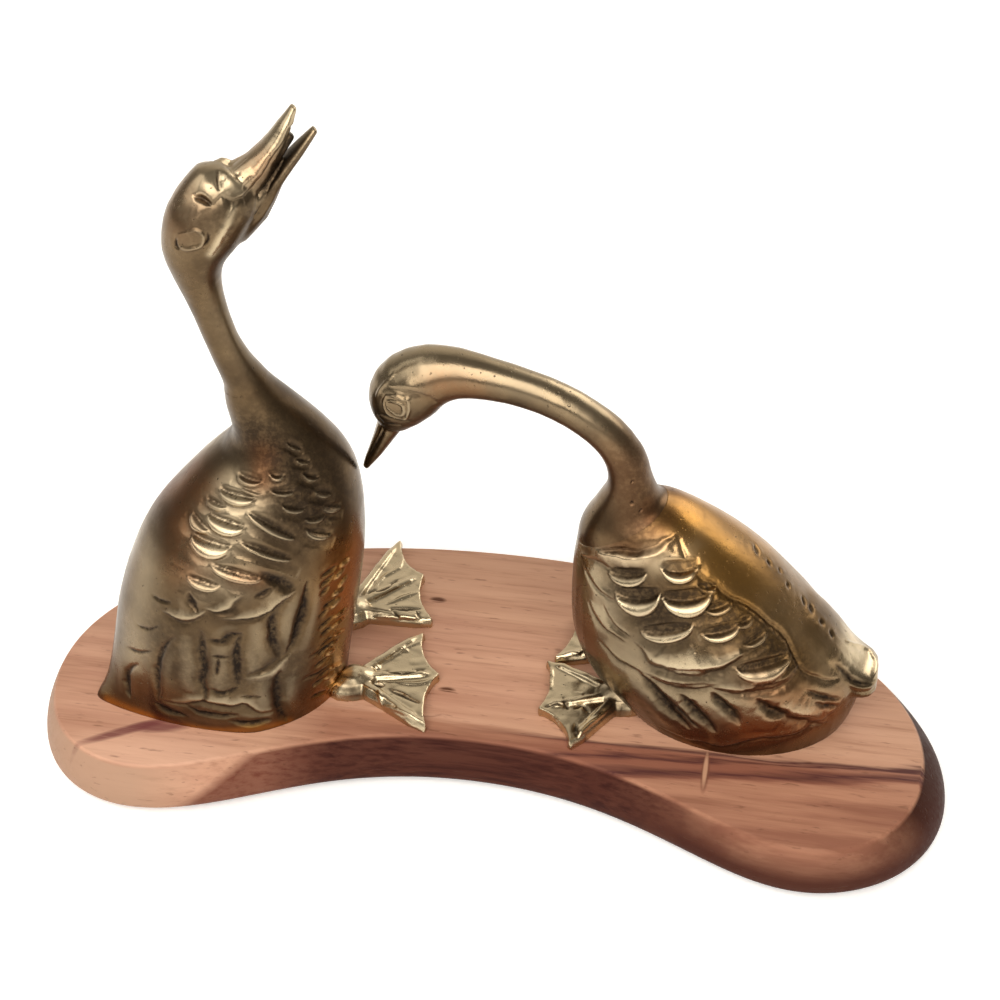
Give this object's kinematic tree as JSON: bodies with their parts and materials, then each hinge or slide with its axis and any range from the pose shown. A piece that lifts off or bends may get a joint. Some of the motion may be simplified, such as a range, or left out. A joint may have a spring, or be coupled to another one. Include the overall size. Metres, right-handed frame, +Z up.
{
  "type": "brass goose figurine",
  "caption": "Decorative standing figurine: hollow cast brass geese on a kidney-shaped wooden plinth, a calling goose with open bill facing a bowing goose with an arched neck.",
  "frame": {"origin": "centre of the underside of the felt, midway along the plinth's length and depth", "axes": "+X along the plinth from the calling goose to the bowing goose, +Y towards the back of its arc, +Z up"},
  "size_m": [0.2692, 0.116, 0.2058],
  "materials": {
    "brass": "antique brass, polished highs with dark patina in the carving",
    "plinth_wood": "satin oiled hardwood",
    "felt": "pressed felt",
    "steel": "zinc plated"
  },
  "bodies": {
    "root": {"base_board": "plinth_wood", "base_felt": "felt", "calling_goose_body": "brass", "calling_goose_neck_and_head": "brass", "calling_goose_right_foot": "brass", "calling_goose_left_foot": "brass", "calling_goose_mounting_bridge": "brass", "calling_goose_mounting_stud": "steel", "calling_goose_washer": "steel", "calling_goose_nut": "steel", "bowing_goose_body": "brass", "bowing_goose_neck_and_head": "brass", "bowing_goose_left_foot": "brass", "bowing_goose_right_foot": "brass", "bowing_goose_mounting_bridge": "brass", "bowing_goose_mounting_stud": "steel", "bowing_goose_washer": "steel", "bowing_goose_nut": "steel"}
  },
  "joints": []
}
